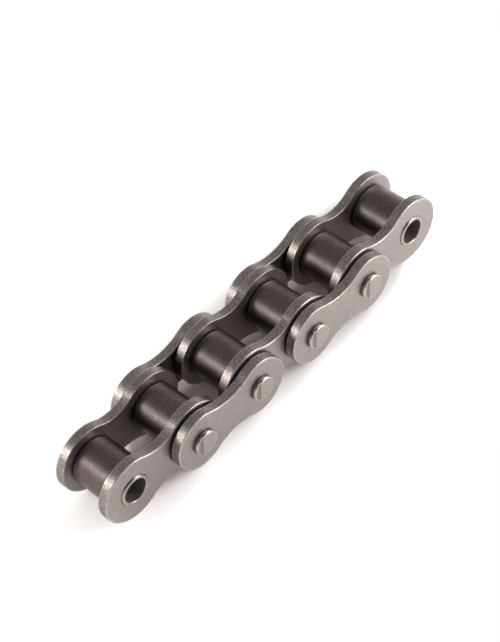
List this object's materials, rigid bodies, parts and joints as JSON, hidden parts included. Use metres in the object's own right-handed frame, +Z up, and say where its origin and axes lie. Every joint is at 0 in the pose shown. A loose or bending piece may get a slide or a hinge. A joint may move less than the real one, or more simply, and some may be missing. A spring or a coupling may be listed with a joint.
{
  "type": "motorcycle chain",
  "caption": "Short length of plain motorcycle roller chain that folds at every pin, with turning rollers and an open bush at each end for a connecting link.",
  "frame": {"origin": "on the floor under the middle of the chain, which stands on its inner plates' lower edges", "axes": "+X along the chain, +Y along the pins away from the viewer, +Z up"},
  "size_m": [0.0938, 0.0206, 0.0145],
  "materials": {
    "plate_steel": "satin, tumbled, warm grey",
    "pin_steel": "ground, satin",
    "bush_steel": "ground, satin",
    "roller_steel": "hardened dark brown-grey, satin"
  },
  "bodies": {
    "inner_link_1": {"inner_plate_1_front": "plate_steel", "inner_plate_1_back": "plate_steel", "bush_1": "bush_steel", "bush_2": "bush_steel"},
    "inner_link_2": {"inner_plate_2_front": "plate_steel", "inner_plate_2_back": "plate_steel", "bush_3": "bush_steel", "bush_4": "bush_steel"},
    "inner_link_3": {"inner_plate_3_front": "plate_steel", "inner_plate_3_back": "plate_steel", "bush_5": "bush_steel", "bush_6": "bush_steel"},
    "outer_link_1": {"outer_plate_1_front": "plate_steel", "outer_plate_1_back": "plate_steel", "pin_1": "pin_steel", "pin_2": "pin_steel"},
    "outer_link_2": {"outer_plate_2_front": "plate_steel", "outer_plate_2_back": "plate_steel", "pin_3": "pin_steel", "pin_4": "pin_steel"},
    "roller_body_1": {"roller_1": "roller_steel"},
    "roller_body_2": {"roller_2": "roller_steel"},
    "roller_body_3": {"roller_3": "roller_steel"},
    "roller_body_4": {"roller_4": "roller_steel"},
    "roller_body_5": {"roller_5": "roller_steel"},
    "roller_body_6": {"roller_6": "roller_steel"}
  },
  "joints": [
    {"name": "hinge_3", "type": "hinge", "parent": "inner_link_2", "child": "outer_link_1", "pos_m": [-0.00794, 0, 0.00725], "axis": [0, 1, 0], "range_deg": [-90, 90]},
    {"name": "hinge_2", "type": "hinge", "parent": "outer_link_1", "child": "inner_link_1", "pos_m": [-0.02381, 0, 0.00725], "axis": [0, 1, 0], "range_deg": [-90, 90]},
    {"name": "hinge_4", "type": "hinge", "parent": "inner_link_2", "child": "outer_link_2", "pos_m": [0.00794, 0, 0.00725], "axis": [0, 1, 0], "range_deg": [-90, 90]},
    {"name": "hinge_5", "type": "hinge", "parent": "outer_link_2", "child": "inner_link_3", "pos_m": [0.02381, 0, 0.00725], "axis": [0, 1, 0], "range_deg": [-90, 90]},
    {"name": "roller_turn_1", "type": "hinge", "parent": "inner_link_1", "child": "roller_body_1", "pos_m": [-0.03969, 0, 0.00725], "axis": [0, 1, 0], "continuous": true},
    {"name": "roller_turn_2", "type": "hinge", "parent": "inner_link_1", "child": "roller_body_2", "pos_m": [-0.02381, 0, 0.00725], "axis": [0, 1, 0], "continuous": true},
    {"name": "roller_turn_3", "type": "hinge", "parent": "inner_link_2", "child": "roller_body_3", "pos_m": [-0.00794, 0, 0.00725], "axis": [0, 1, 0], "continuous": true},
    {"name": "roller_turn_4", "type": "hinge", "parent": "inner_link_2", "child": "roller_body_4", "pos_m": [0.00794, 0, 0.00725], "axis": [0, 1, 0], "continuous": true},
    {"name": "roller_turn_5", "type": "hinge", "parent": "inner_link_3", "child": "roller_body_5", "pos_m": [0.02381, 0, 0.00725], "axis": [0, 1, 0], "continuous": true},
    {"name": "roller_turn_6", "type": "hinge", "parent": "inner_link_3", "child": "roller_body_6", "pos_m": [0.03969, 0, 0.00725], "axis": [0, 1, 0], "continuous": true}
  ]
}
